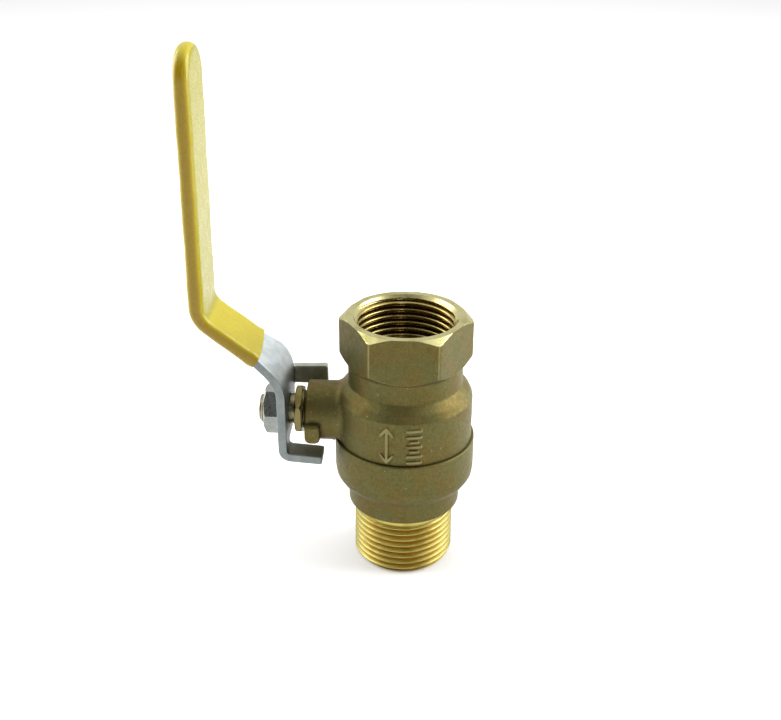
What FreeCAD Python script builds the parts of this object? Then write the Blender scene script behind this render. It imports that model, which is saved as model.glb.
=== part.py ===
import FreeCAD, Part
import math
import os
import re
import Sketcher

# Ball valve, 3/4 inch size: a forged body with a female-threaded hexagon end, a screwed-in end
# connector with a male thread, a floating ball between two seats, and a bent lever on the stem.
#
# Frame: the origin is the centre of the male end face, +Z runs up the flow axis and the stem
# points along -X. The lever is modelled in the open position, parallel to the flow axis.
# All sizes are in millimetres. Stem stations are distances from the flow axis towards -X.

SIZES = {
    # Flow axis, heights above the male end face
    "overall_height": 70.0,
    "axis_height": 42.3,
    "port_radius": 9.25,
    # Body: hexagon end, neck, barrel and the open lower end
    "hex_flats": 30.0,
    "hex_bottom": 57.8,
    "hex_corner_radius": 17.0,
    "hex_under_cone": 2.0,
    "hex_crown_radius": 15.2,
    "hex_crown_drop": 1.3,
    "neck_radius": 14.8,
    "neck_bottom": 52.0,
    "shoulder_radius": 16.5,
    "shoulder_height": 50.2,
    "barrel_radius": 17.5,
    "barrel_top": 48.3,
    "joint_height": 36.4,
    "skirt_radius": 16.0,
    "skirt_bottom": 30.0,
    "cap_clearance_radius": 18.7,
    "female_minor_radius": 12.06,
    "female_thread_end": 56.5,
    "female_lead_in": 1.3,
    "cavity_radius": 14.6,
    # Seats, measured from the ball centre along the flow axis
    "seat_floor": 10.9,
    "seat_mouth": 6.2,
    "seat_pocket_radius": 13.2,
    "seat_inner_radius": 9.6,
    "seat_outer_radius": 13.15,
    "seat_lip_radius": 12.6,
    "seat_contact_angle": 53.0,
    "seat_gap": 0.1,
    # Stem boss, its bores and its stop lugs
    "boss_radius": 7.8,
    "boss_end": 25.3,
    "ledge_station": 17.0,
    "ledge_bore_radius": 5.2,
    "stem_bore_radius": 4.1,
    "chamber_station": 20.0,
    "chamber_radius": 5.4,
    "lug_end": 25.4,
    "lug_length": 3.9,
    "lug_root": 5.5,
    "lug_rounding": 1.4,
    "near_lug_reach": 9.8,
    "near_lug_depth": 5.0,
    "far_lug_reach": 10.8,
    "far_lug_top": 2.6,
    "far_lug_bottom": 2.7,
    # End connector
    "male_major_radius": 13.22,
    "male_point_radius": 12.4,
    "male_point_height": 0.9,
    "male_thread_end": 16.9,
    "cap_radius": 18.3,
    "cap_straight": 27.4,
    "cap_turn_radius": 18.0,
    "cap_turn_height": 25.0,
    "cap_fillet": 2.2,
    "cap_neck_radius": 14.8,
    "cap_neck_height": 22.6,
    "trench_radius": 16.05,
    "trench_floor": 29.0,
    "nose_radius": 14.4,
    "nose_top": 35.3,
    "joint_seal_gap": 0.05,
    # Ball
    "ball_radius": 14.0,
    "ball_slot_floor": 10.4,
    "ball_slot_width": 5.0,
    # Stem
    "tang_tip": 10.6,
    "tang_thickness": 4.7,
    "tang_radius": 4.3,
    "collar_inner": 14.4,
    "collar_outer": 16.2,
    "collar_radius": 5.0,
    "shaft_radius": 4.0,
    "ring_groove_start": 18.0,
    "ring_groove_end": 19.3,
    "ring_groove_radius": 3.0,
    "ring_section_radius": 0.54,
    "flats_start": 30.0,
    "flats_across": 6.2,
    "stem_end": 37.9,
    "stem_end_chamfer": 0.7,
    # Stem packing and gland nut
    "packing_inner": 4.03,
    "packing_outer": 5.37,
    "packing_length": 1.2,
    "gland_shank_radius": 5.3,
    "gland_head_start": 26.7,
    "gland_head_end": 28.4,
    "gland_flats": 12.0,
    # Lever, bent from strip
    "strip_thickness": 2.2,
    "foot_end": 21.05,
    "foot_drop": 9.6,
    "foot_slope": 0.8,
    "foot_far_edge": 3.0,
    "plate_station": 31.2,
    "plate_half_width": 9.2,
    "plate_shoulder": 1.5,
    "plate_root": 7.0,
    "low_bend_height": 54.3,
    "high_bend_station": 51.4,
    "high_bend_height": 70.1,
    "tip_station": 50.36,
    "tip_height": 134.6,
    "taper_low": 56.0,
    "taper_high": 60.5,
    "grip_half_width": 7.2,
    "foot_bend_radius": 2.1,
    "low_bend_radius": 9.5,
    "high_bend_radius": 7.0,
    "tab_inner": 9.0,
    "tab_bottom": 2.8,
    "tab_top": 7.8,
    "tab_outer_bend": 1.9,
    "tab_inner_bend": 0.5,
    # Dipped grip sleeve
    "sleeve_wall": 0.85,
    "sleeve_start": 37.9,
    "sleeve_rounding": 1.3,
    # Lever nut
    "nut_flats": 11.6,
    "nut_thickness": 4.2,
    "nut_crown_radius": 5.7,
    "nut_crown_drop": 0.55,
}

doc = FreeCAD.newDocument("ball_valve")
sheet = doc.addObject("Spreadsheet::Sheet", "Sizes")
for row, (alias, amount) in enumerate(SIZES.items(), start=1):
    sheet.set(f"A{row}", alias)
    sheet.set(f"B{row}", str(amount))
    sheet.setAlias(f"B{row}", alias)
doc.recompute()


# ---------------------------------------------------------------- building blocks

def bind(item, prop, formula):
    """Tie a property to a formula written in the sheet's aliases."""
    def full_name(match):
        word = match.group()
        return f"Sizes.{word}" if word in SIZES else word
    item.setExpression(prop, re.sub(r"[a-z]\w*", full_name, formula))


def new_body(label):
    body = doc.addObject("PartDesign::Body", label)
    body.Label = label
    return body


def new_sketch(body, plane, offset=None):
    """Sketch on one of the body's own origin planes, moved along its normal by offset."""
    sketch = body.newObject("Sketcher::SketchObject", f"{body.Name}_sketch")
    support = [item for item in body.Origin.OriginFeatures if item.Role == plane]
    sketch.AttachmentSupport = [(support[0], "")]
    sketch.MapMode = "FlatFace"
    if offset:
        bind(sketch, "AttachmentOffset.Base.z", offset)
    return sketch


def hold(sketch, constraint, formula):
    """Add a dimension and tie it to its formula."""
    index = sketch.addConstraint(constraint)
    sketch.renameConstraint(index, f"size_{index}")
    bind(sketch, f"Constraints.size_{index}", formula)


def hold_point(sketch, geometry, point, across, up):
    """Place one point by its two signed distances from the sketch origin."""
    for kind, formula, axis in (("DistanceX", across, -2), ("DistanceY", up, -1)):
        if formula == "0":
            sketch.addConstraint(Sketcher.Constraint("PointOnObject", geometry, point, axis))
        else:
            hold(sketch, Sketcher.Constraint(kind, -1, 1, geometry, point, 1.0), formula)


def polygon(sketch, corners):
    """Closed outline whose corners are pairs of formulas."""
    count = len(corners)
    first = sketch.GeometryCount
    turns = [2 * math.pi * index / count for index in range(count)]
    spots = [FreeCAD.Vector(math.cos(turn), math.sin(turn), 0) for turn in turns]
    for index in range(count):
        line = Part.LineSegment(spots[index], spots[(index + 1) % count])
        sketch.addGeometry(line, False)
    for index in range(count):
        following = first + (index + 1) % count
        sketch.addConstraint(Sketcher.Constraint("Coincident", first + index, 2, following, 1))
    for index, (across, up) in enumerate(corners):
        hold_point(sketch, first + index, 1, across, up)


def circle(sketch, across, up, radius):
    disc = Part.Circle(FreeCAD.Vector(1, 1, 0), FreeCAD.Vector(0, 0, 1), 1)
    index = sketch.addGeometry(disc, False)
    hold_point(sketch, index, 3, across, up)
    hold(sketch, Sketcher.Constraint("Radius", index, 1.0), radius)


def hexagon(sketch, flats, up, corner_up=False):
    """Hexagon about (0, up), with a corner pointing across the sketch, or up it."""
    long, half, flat = f"({flats}) / sqrt(3)", f"({flats}) / sqrt(12)", f"({flats}) / 2"
    ring = [(long, "0"), (half, flat), (f"-{half}", flat),
            (f"-{long}", "0"), (f"-{half}", f"-{flat}"), (half, f"-{flat}")]
    if corner_up:
        ring = [(second, first) for first, second in ring]
    if up == "0":
        polygon(sketch, ring)
    else:
        polygon(sketch, [(first, f"{up} + {second}") for first, second in ring])


def finish_feature(body, feature, adds):
    """Recompute, and stop if the feature failed or changed nothing."""
    before = body.Shape.Volume if not body.Shape.isNull() else 0.0
    doc.recompute()
    if "Invalid" in feature.State or feature.Shape.isNull():
        raise RuntimeError(f"{feature.Name} failed")
    change = feature.Shape.Volume - before
    if change <= 0 if adds else change >= 0:
        raise RuntimeError(f"{feature.Name} changed the volume by {change:.3f}")
    return feature


def extrude(body, sketch, length, adds=True, backwards=False, centred=False):
    kind = "PartDesign::Pad" if adds else "PartDesign::Pocket"
    feature = body.newObject(kind, f"{body.Name}_{'pad' if adds else 'pocket'}")
    feature.Profile = sketch
    feature.Midplane = centred
    feature.Reversed = backwards
    bind(feature, "Length", length)
    return finish_feature(body, feature, adds)


def turn(body, outline, adds=True, about_stem=False):
    """Revolve an outline about the flow axis, or about the stem axis.

    Outline corners are (radius, height) about the flow axis, and (station, radius) about the stem.
    """
    sketch = new_sketch(body, "XZ_Plane")
    if about_stem:
        centre = Part.LineSegment(FreeCAD.Vector(-9, 9, 0), FreeCAD.Vector(-1, 9, 0))
        line = sketch.addGeometry(centre, True)
        hold_point(sketch, line, 1, "-stem_end", "axis_height")
        hold_point(sketch, line, 2, "-tang_tip", "axis_height")
        outline = [(f"-({station})", f"axis_height + {radius}") for station, radius in outline]
    polygon(sketch, outline)
    kind = "PartDesign::Revolution" if adds else "PartDesign::Groove"
    feature = body.newObject(kind, f"{body.Name}_{'revolution' if adds else 'groove'}")
    feature.Profile = sketch
    feature.ReferenceAxis = (sketch, ["Axis0" if about_stem else "V_Axis"])
    feature.Angle = 360
    return finish_feature(body, feature, adds)


def round_edges(body, radius, chosen, adds=False):
    """Fillet the edges of the body's tip that a test picks."""
    base = body.Tip
    edges = base.Shape.Edges
    names = [f"Edge{index}" for index, edge in enumerate(edges, start=1) if chosen(edge)]
    if not names:
        raise RuntimeError(f"{body.Label}: no edge to round")
    feature = body.newObject("PartDesign::Fillet", f"{body.Name}_fillet")
    feature.Base = (base, names)
    bind(feature, "Radius", radius)
    return finish_feature(body, feature, adds)


def rim(radius, height):
    """Test for a full circle about the flow axis."""
    def chosen(edge):
        if not isinstance(edge.Curve, Part.Circle):
            return False
        gap = abs(edge.Curve.Radius - SIZES[radius]) + abs(edge.Curve.Center.z - SIZES[height])
        return gap < 0.01
    return chosen


def along(direction, place, reach=0.05):
    """Test for a straight edge along a direction whose line passes within reach of a place."""
    def chosen(edge):
        if not isinstance(edge.Curve, Part.Line):
            return False
        if abs(edge.Curve.Direction.dot(direction)) < 0.999:
            return False
        offset = edge.CenterOfMass - place
        return (offset - direction * offset.dot(direction)).Length < reach
    return chosen


# ---------------------------------------------------------------- body

def make_valve_body():
    body = new_body("valve_body")
    turn(body, [("0", "skirt_bottom"), ("skirt_radius", "skirt_bottom"),
                ("skirt_radius", "joint_height"), ("barrel_radius", "joint_height"),
                ("barrel_radius", "barrel_top"), ("shoulder_radius", "shoulder_height"),
                ("neck_radius", "neck_bottom"),
                ("neck_radius", "hex_bottom"), ("0", "hex_bottom")])

    hex_sketch = new_sketch(body, "XY_Plane", "hex_bottom")
    hexagon(hex_sketch, "hex_flats", "0")
    extrude(body, hex_sketch, "overall_height - hex_bottom")
    turn(body, [("neck_radius", "hex_bottom"),
                ("hex_corner_radius", "hex_bottom + hex_under_cone"),
                ("hex_corner_radius", "overall_height - hex_crown_drop"),
                ("hex_crown_radius", "overall_height"),
                ("hex_flats", "overall_height"), ("hex_flats", "hex_bottom")], adds=False)

    add_boss(body)
    # The skirt is turned below the joint face, which also clears the boss from the cap.
    turn(body, [("skirt_radius", "joint_height"), ("cap_clearance_radius", "joint_height"),
                ("cap_clearance_radius", "skirt_bottom"), ("skirt_radius", "skirt_bottom")],
         adds=False)
    for side in ("near", "far"):
        add_lug(body, side)
    bore_flow_passage(body)
    bore_stem_passage(body)
    return body


def add_boss(body):
    """Round boss for the stem."""
    sketch = new_sketch(body, "YZ_Plane")
    circle(sketch, "0", "axis_height", "boss_radius")
    extrude(body, sketch, "boss_end", backwards=True)


def add_lug(body, side):
    """Stop lug on the rim of the boss, on the near side (-Y) or the far side (+Y)."""
    if side == "near":
        across, reach = "-lug_root", "-near_lug_reach"
        top, bottom = "axis_height", "axis_height - near_lug_depth"
        corner_y = -SIZES["near_lug_reach"]
        corner_heights = (0.0, -SIZES["near_lug_depth"])
    else:
        across, reach = "lug_root", "far_lug_reach"
        top, bottom = "axis_height + far_lug_top", "axis_height - far_lug_bottom"
        corner_y = SIZES["far_lug_reach"]
        corner_heights = (SIZES["far_lug_top"], -SIZES["far_lug_bottom"])
    sketch = new_sketch(body, "YZ_Plane", "-lug_end")
    polygon(sketch, [(across, bottom), (reach, bottom), (reach, top), (across, top)])
    extrude(body, sketch, "lug_length")
    corners = [FreeCAD.Vector(0, corner_y, SIZES["axis_height"] + height)
               for height in corner_heights]
    tests = [along(FreeCAD.Vector(1, 0, 0), corner) for corner in corners]
    round_edges(body, "lug_rounding", lambda edge: any(test(edge) for test in tests))


def bore_flow_passage(body):
    """Female thread bore, port, seat pocket and ball cavity, open at the skirt."""
    upper_floor = "axis_height + seat_floor"
    upper_mouth = "axis_height + seat_mouth"
    turn(body, [("0", "overall_height"),
                ("female_minor_radius + female_lead_in", "overall_height"),
                ("female_minor_radius", "overall_height - female_lead_in"),
                ("female_minor_radius", "female_thread_end"),
                ("port_radius", "female_thread_end"),
                ("port_radius", upper_floor),
                ("seat_pocket_radius", upper_floor),
                ("seat_pocket_radius", upper_mouth),
                ("cavity_radius", upper_mouth),
                ("cavity_radius", "skirt_bottom"),
                ("0", "skirt_bottom")], adds=False)


def bore_stem_passage(body):
    """Ledge for the stem collar, stem bore and packing chamber, from the cavity outwards."""
    turn(body, [("tang_tip", "0"),
                ("tang_tip", "ledge_bore_radius"), ("ledge_station", "ledge_bore_radius"),
                ("ledge_station", "stem_bore_radius"), ("chamber_station", "stem_bore_radius"),
                ("chamber_station", "chamber_radius"), ("boss_end", "chamber_radius"),
                ("boss_end", "0")], adds=False, about_stem=True)


# ---------------------------------------------------------------- end connector and ball

def make_end_connector():
    body = new_body("end_connector")
    lower_floor = "axis_height - seat_floor"
    turn(body, [("port_radius", "0"), ("male_point_radius", "0"),
                ("male_major_radius", "male_point_height"),
                ("male_major_radius", "male_thread_end"),
                ("cap_neck_radius", "male_thread_end"), ("cap_neck_radius", "cap_neck_height"),
                ("cap_turn_radius", "cap_turn_height"), ("cap_radius", "cap_straight"),
                ("cap_radius", "joint_height"), ("trench_radius", "joint_height"),
                ("trench_radius", "trench_floor"), ("nose_radius", "trench_floor"),
                ("nose_radius", "nose_top"), ("seat_pocket_radius", "nose_top"),
                ("seat_pocket_radius", lower_floor), ("port_radius", lower_floor)])
    round_edges(body, "cap_fillet", rim("cap_turn_radius", "cap_turn_height"))
    return body


def make_ring(label, inner, outer, bottom, top, about_stem=False):
    """Plain ring about the flow axis, or about the stem with bottom and top as stations."""
    body = new_body(label)
    if about_stem:
        turn(body, [(bottom, inner), (bottom, outer), (top, outer), (top, inner)],
             about_stem=True)
    else:
        turn(body, [(inner, bottom), (outer, bottom), (outer, top), (inner, top)])
    return body


def make_seat(label, side):
    """PTFE seat with a conical face that is tangent to the ball; side is '+' above, '-' below."""
    ball = "(ball_radius + seat_gap)"
    slope = "tan(seat_contact_angle * 1 deg)"
    level = f"({ball} / cos(seat_contact_angle * 1 deg))"

    def height(offset):
        return f"axis_height {side} ({offset})"

    def cone(radius):
        return height(f"{level} - {radius} * {slope}")

    body = new_body(label)
    turn(body, [("seat_inner_radius", height("seat_floor")),
                ("seat_outer_radius", height("seat_floor")),
                ("seat_outer_radius", cone("seat_lip_radius")),
                ("seat_lip_radius", cone("seat_lip_radius")),
                ("seat_inner_radius", cone("seat_inner_radius"))])
    return body


def make_ball():
    """Ball with its port along the flow axis and an open slot for the stem's tang."""
    sphere = doc.addObject("Part::Sphere", "ball_sphere")
    port = doc.addObject("Part::Cylinder", "ball_port")
    slot = doc.addObject("Part::Box", "ball_slot")
    cutters = doc.addObject("Part::MultiFuse", "ball_cutters")
    ball = doc.addObject("Part::Cut", "ball")
    bind(sphere, "Radius", "ball_radius")
    bind(sphere, "Placement.Base.z", "axis_height")
    bind(port, "Radius", "port_radius")
    bind(port, "Height", "2 * ball_radius + 2")
    bind(port, "Placement.Base.z", "axis_height - ball_radius - 1")
    bind(slot, "Length", "ball_radius")
    bind(slot, "Width", "2 * ball_radius + 2")
    bind(slot, "Height", "ball_slot_width")
    bind(slot, "Placement.Base.x", "-ball_slot_floor - ball_radius")
    bind(slot, "Placement.Base.y", "-ball_radius - 1")
    bind(slot, "Placement.Base.z", "axis_height - ball_slot_width / 2")
    cutters.Shapes = [port, slot]
    ball.Base = sphere
    ball.Tool = cutters
    ball.Label = "ball"
    return ball


# ---------------------------------------------------------------- stem and its seals

def make_stem():
    body = new_body("stem")
    turn(body, [("tang_tip", "0"), ("tang_tip", "tang_radius"), ("collar_inner", "tang_radius"),
                ("collar_inner", "collar_radius"), ("collar_outer", "collar_radius"),
                ("collar_outer", "shaft_radius"), ("ring_groove_start", "shaft_radius"),
                ("ring_groove_start", "ring_groove_radius"),
                ("ring_groove_end", "ring_groove_radius"), ("ring_groove_end", "shaft_radius"),
                ("stem_end - stem_end_chamfer", "shaft_radius"),
                ("stem_end", "shaft_radius - stem_end_chamfer"), ("stem_end", "0")],
         about_stem=True)
    trim_flats(body, "tang_tip", "collar_inner", "tang_thickness", "tang_radius")
    trim_flats(body, "flats_start", "stem_end", "flats_across", "shaft_radius")
    return body


def trim_flats(body, start, end, across, radius):
    """Cut two flats, above and below the stem axis, between two stations."""
    for sign in ("+", "-"):
        sketch = new_sketch(body, "XZ_Plane")
        near = f"axis_height {sign} {across} / 2"
        outside = f"axis_height {sign} ({radius} + 1)"
        polygon(sketch, [(f"-({end})", near), (f"-({start})", near),
                         (f"-({start})", outside), (f"-({end})", outside)])
        extrude(body, sketch, f"2 * {radius} + 2", adds=False, centred=True)


def make_o_ring():
    """Rubber ring in the stem's groove, pressed to the width of the gap it fills."""
    body = new_body("stem_o_ring")
    sketch = new_sketch(body, "XZ_Plane")
    centre = Part.LineSegment(FreeCAD.Vector(-9, 9, 0), FreeCAD.Vector(-1, 9, 0))
    line = sketch.addGeometry(centre, True)
    hold_point(sketch, line, 1, "-stem_end", "axis_height")
    hold_point(sketch, line, 2, "-tang_tip", "axis_height")
    circle(sketch, "-(ring_groove_start + ring_groove_end) / 2",
           "axis_height + (ring_groove_radius + stem_bore_radius) / 2", "ring_section_radius")
    feature = body.newObject("PartDesign::Revolution", "stem_o_ring_revolution")
    feature.Profile = sketch
    feature.ReferenceAxis = (sketch, ["Axis0"])
    feature.Angle = 360
    finish_feature(body, feature, adds=True)
    return body


def make_gland_nut():
    body = new_body("gland_nut")
    packed = "chamber_station + 2 * packing_length"
    head = new_sketch(body, "YZ_Plane", "-gland_head_start")
    hexagon(head, "gland_flats", "axis_height", corner_up=True)
    extrude(body, head, "gland_head_end - gland_head_start", backwards=True)
    shank = new_sketch(body, "YZ_Plane", "-gland_head_start")
    circle(shank, "0", "axis_height", "gland_shank_radius")
    extrude(body, shank, f"gland_head_start - ({packed})")
    turn(body, [(packed, "0"), (packed, "stem_bore_radius"),
                ("gland_head_end", "stem_bore_radius"), ("gland_head_end", "0")],
         adds=False, about_stem=True)
    return body


# ---------------------------------------------------------------- lever, sleeve and nut

def path_points(corners, sketch):
    """Add a guide line through the corners and return its solved points."""
    count = len(corners)
    for index in range(count - 1):
        start = FreeCAD.Vector(index, index * index, 0)
        end = FreeCAD.Vector(index + 1, (index + 1) ** 2, 0)
        sketch.addGeometry(Part.LineSegment(start, end), True)
    for index in range(count - 2):
        sketch.addConstraint(Sketcher.Constraint("Coincident", index, 2, index + 1, 1))
    for index, (across, up) in enumerate(corners[:-1]):
        hold_point(sketch, index, 1, across, up)
    hold_point(sketch, count - 2, 2, *corners[-1])
    doc.recompute()
    return [sketch.getPoint(index, 1) for index in range(count - 1)] + [
        sketch.getPoint(count - 2, 2)]


def band(body, corners, half_thickness):
    """Sketch a strip of even thickness along a path, seen on edge. Returns sketch and path."""
    sketch = new_sketch(body, "XZ_Plane")
    path = path_points(corners, sketch)
    segments = len(path) - 1
    up = FreeCAD.Vector(0, 0, 1)
    for side in (1, -1):
        offsets = []
        for index, point in enumerate(path):
            before, after = path[max(index - 1, 0)], path[min(index + 1, segments)]
            offsets.append(point + up.cross(after - before).normalize() * side)
        first = sketch.GeometryCount
        for index in range(segments):
            sketch.addGeometry(Part.LineSegment(offsets[index], offsets[index + 1]), False)
        for index in range(segments):
            line = first + index
            if index:
                sketch.addConstraint(Sketcher.Constraint("Coincident", line - 1, 2, line, 1))
            sketch.addConstraint(Sketcher.Constraint("Parallel", line, index))
            hold(sketch, Sketcher.Constraint("Distance", line, 1, index, 1.0), half_thickness)
    left, right = segments, 2 * segments
    for end, index in ((1, 0), (2, segments - 1)):
        start_point = sketch.getPoint(left + index, end)
        end_point = sketch.getPoint(right + index, end)
        cap = sketch.addGeometry(Part.LineSegment(start_point, end_point), False)
        sketch.addConstraint(Sketcher.Constraint("Coincident", cap, 1, left + index, end))
        sketch.addConstraint(Sketcher.Constraint("Coincident", cap, 2, right + index, end))
        sketch.addConstraint(Sketcher.Constraint("Perpendicular", cap, index))
        sketch.addConstraint(Sketcher.Constraint("PointOnObject", index, end, cap))
    doc.recompute()
    return sketch, path


def bend_strip(body, path, corner, radius, half_thickness):
    """Round both sides of one bend about the same centre."""
    place = FreeCAD.Vector(path[corner].x, 0, path[corner].y)
    towards = FreeCAD.Vector(0, 0, 0)
    for neighbour in (path[corner - 1], path[corner + 1]):
        arm = FreeCAD.Vector(neighbour.x, 0, neighbour.y) - place
        towards = towards + arm.normalize()
    across = FreeCAD.Vector(0, 1, 0)
    near_bend = along(across, place, reach=4.0)
    for inside in (True, False):
        sign = "-" if inside else "+"

        def chosen(edge):
            offset = edge.CenterOfMass - place
            return near_bend(edge) and (offset.dot(towards) > 0) == inside

        round_edges(body, f"{radius} {sign} {half_thickness}", chosen, adds=inside)


GRIP_PATH = [("-plate_station", "low_bend_height"), ("-high_bend_station", "high_bend_height"),
             ("-tip_station", "tip_height")]


def make_lever():
    """Flat strip with two bends to the grip, a foot bent under the boss and a side tab."""
    body = new_body("lever")
    foot_height = "axis_height - foot_drop"
    half_thickness = "strip_thickness / 2"
    corners = [("-foot_end", f"{foot_height} - foot_slope"),
               ("-plate_station", foot_height)] + GRIP_PATH
    sketch, path = band(body, corners, half_thickness)
    extrude(body, sketch, "4 * plate_half_width", centred=True)
    for corner, radius in ((1, "foot_bend_radius"), (2, "low_bend_radius"),
                           (3, "high_bend_radius")):
        bend_strip(body, path, corner, radius, half_thickness)
    trim_lever_outline(body)
    add_side_tab(body)
    cut_stem_hole(body)
    return body


def trim_lever_outline(body):
    """Cut the strip to its width: wide at the stem, narrower at the foot and along the grip."""
    sketch = new_sketch(body, "YZ_Plane", "-high_bend_station - 10")
    bottom = "axis_height - foot_drop - foot_slope - strip_thickness"
    top = "tip_height + 1"
    frame_side = "3 * plate_half_width"
    tab_outer = "tab_inner + strip_thickness"
    polygon(sketch, [(f"-{frame_side}", f"{bottom} - 5"), (frame_side, f"{bottom} - 5"),
                     (frame_side, f"{top} + 5"), (f"-{frame_side}", f"{top} + 5")])
    polygon(sketch, [("-plate_half_width", bottom), ("-foot_far_edge", bottom),
                     ("-foot_far_edge", "axis_height - plate_root"),
                     ("foot_far_edge", "axis_height - plate_root"),
                     ("plate_half_width", "axis_height - plate_shoulder"),
                     ("plate_half_width", "axis_height + tab_bottom"),
                     (tab_outer, "axis_height + tab_bottom"),
                     (tab_outer, "axis_height + tab_top"),
                     ("plate_half_width", "axis_height + tab_top"),
                     ("plate_half_width", "taper_low"), ("grip_half_width", "taper_high"),
                     ("grip_half_width", top), ("-grip_half_width", top),
                     ("-grip_half_width", "taper_high"), ("-plate_half_width", "taper_low")])
    extrude(body, sketch, "high_bend_station + 20", adds=False, backwards=True)
    tip = FreeCAD.Vector(-SIZES["tip_station"], 0, SIZES["tip_height"])
    half_width = SIZES["grip_half_width"]

    def at_tip(edge):
        offset = edge.CenterOfMass - tip
        return abs(abs(offset.y) - half_width) < 0.01 and abs(offset.z) < 0.5

    round_edges(body, "grip_half_width - 0.3", at_tip)


def add_side_tab(body):
    """Stop tab bent back from the far edge of the plate, towards the boss."""
    sketch = new_sketch(body, "YZ_Plane", "-plate_station - strip_thickness / 2")
    polygon(sketch, [("tab_inner", "axis_height + tab_bottom"),
                     ("tab_inner + strip_thickness", "axis_height + tab_bottom"),
                     ("tab_inner + strip_thickness", "axis_height + tab_top"),
                     ("tab_inner", "axis_height + tab_top")])
    extrude(body, sketch, "plate_station + strip_thickness / 2 - foot_end")
    thickness = SIZES["strip_thickness"]
    plate = SIZES["plate_station"]
    height = SIZES["axis_height"] + SIZES["tab_bottom"]
    upright = FreeCAD.Vector(0, 0, 1)
    inner = FreeCAD.Vector(-plate + thickness / 2, SIZES["tab_inner"], height)
    outer = FreeCAD.Vector(-plate - thickness / 2, SIZES["tab_inner"] + thickness, height)
    round_edges(body, "tab_outer_bend", along(upright, outer))
    round_edges(body, "tab_inner_bend", along(upright, inner), adds=True)


def cut_stem_hole(body):
    """Hole for the stem, round with a flat above and below."""
    sketch = new_sketch(body, "YZ_Plane", "-plate_station - strip_thickness")
    axis_height = SIZES["axis_height"]
    radius = SIZES["shaft_radius"]
    half_flat = SIZES["flats_across"] / 2
    full = Part.Circle(FreeCAD.Vector(0, axis_height, 0), FreeCAD.Vector(0, 0, 1), radius)
    tilt = math.asin(half_flat / radius)
    arcs = []
    for start, sign in ((-tilt, 1), (math.pi - tilt, -1)):
        arc = sketch.addGeometry(Part.ArcOfCircle(full, start, start + 2 * tilt), False)
        arcs.append(arc)
        sketch.addConstraint(Sketcher.Constraint("PointOnObject", arc, 3, -2))
        centre_up = Sketcher.Constraint("DistanceY", -1, 1, arc, 3, axis_height)
        hold(sketch, centre_up, "axis_height")
        hold(sketch, Sketcher.Constraint("Radius", arc, radius), "shaft_radius")
        for end, side in ((1, -sign), (2, sign)):
            level = Sketcher.Constraint("DistanceY", -1, 1, arc, end, axis_height + side * half_flat)
            hold(sketch, level, f"axis_height + {side} * flats_across / 2")
    for first, second in (arcs, reversed(arcs)):
        flat = Part.LineSegment(sketch.getPoint(first, 2), sketch.getPoint(second, 1))
        line = sketch.addGeometry(flat, False)
        sketch.addConstraint(Sketcher.Constraint("Coincident", line, 1, first, 2))
        sketch.addConstraint(Sketcher.Constraint("Coincident", line, 2, second, 1))
    extrude(body, sketch, "2 * strip_thickness", adds=False, backwards=True)


def make_grip_sleeve(lever):
    """Dipped plastic sleeve: the strip's path made thicker and wider, less the strip itself."""
    body = new_body("grip_skin")
    rise = "(high_bend_height - low_bend_height) / (high_bend_station - plate_station)"
    start = ("-sleeve_start", f"low_bend_height + (sleeve_start - plate_station) * {rise}")
    end = ("-tip_station", "tip_height + sleeve_wall")
    half_thickness = "(strip_thickness / 2 + sleeve_wall)"
    sketch, path = band(body, [start, GRIP_PATH[1], end], half_thickness)
    extrude(body, sketch, "2 * (grip_half_width + sleeve_wall)", centred=True)
    bend_strip(body, path, 1, "high_bend_radius", half_thickness)
    half_width = SIZES["grip_half_width"] + SIZES["sleeve_wall"]
    tip = FreeCAD.Vector(-SIZES["tip_station"], 0, SIZES["tip_height"] + SIZES["sleeve_wall"])

    def at_tip(edge):
        offset = edge.CenterOfMass - tip
        return abs(abs(offset.y) - half_width) < 0.01 and abs(offset.z) < 0.5

    round_edges(body, "grip_half_width + sleeve_wall - 0.3", at_tip)
    mouth = FreeCAD.Vector(path[0].x, 0, path[0].y)

    def on_rim(edge):
        """Long edges and tip edges, but none of the four round the flat end at the mouth."""
        offset = edge.CenterOfMass - mouth
        across_mouth = offset.Length < 6 and abs(offset.y) < half_width - 0.1
        beside_mouth = isinstance(edge.Curve, Part.Line) and math.hypot(offset.x, offset.z) < 0.1
        return edge.Length > 1 and not across_mouth and not beside_mouth

    round_edges(body, "sleeve_rounding", on_rim)
    sleeve = doc.addObject("Part::Cut", "grip_sleeve")
    sleeve.Base = body
    sleeve.Tool = lever
    sleeve.Label = "grip_sleeve"
    doc.recompute()
    return sleeve


def make_lever_nut():
    """Hexagon nut with turned crowns on both faces, hard against the lever plate."""
    body = new_body("lever_nut")
    seat = "plate_station + strip_thickness / 2"
    outer = f"{seat} + nut_thickness"
    sketch = new_sketch(body, "YZ_Plane", f"-({seat})")
    hexagon(sketch, "nut_flats", "axis_height")
    extrude(body, sketch, "nut_thickness", backwards=True)
    for face, inwards in ((seat, f"{seat} + nut_crown_drop"), (outer, f"{outer} - nut_crown_drop")):
        turn(body, [(face, "nut_crown_radius"), (inwards, "nut_crown_radius + 2 * nut_crown_drop"),
                    (inwards, "nut_flats"), (face, "nut_flats")], adds=False, about_stem=True)
    turn(body, [(seat, "0"), (seat, "shaft_radius"), (outer, "shaft_radius"), (outer, "0")],
         adds=False, about_stem=True)
    return body


# ---------------------------------------------------------------- assembly

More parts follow.
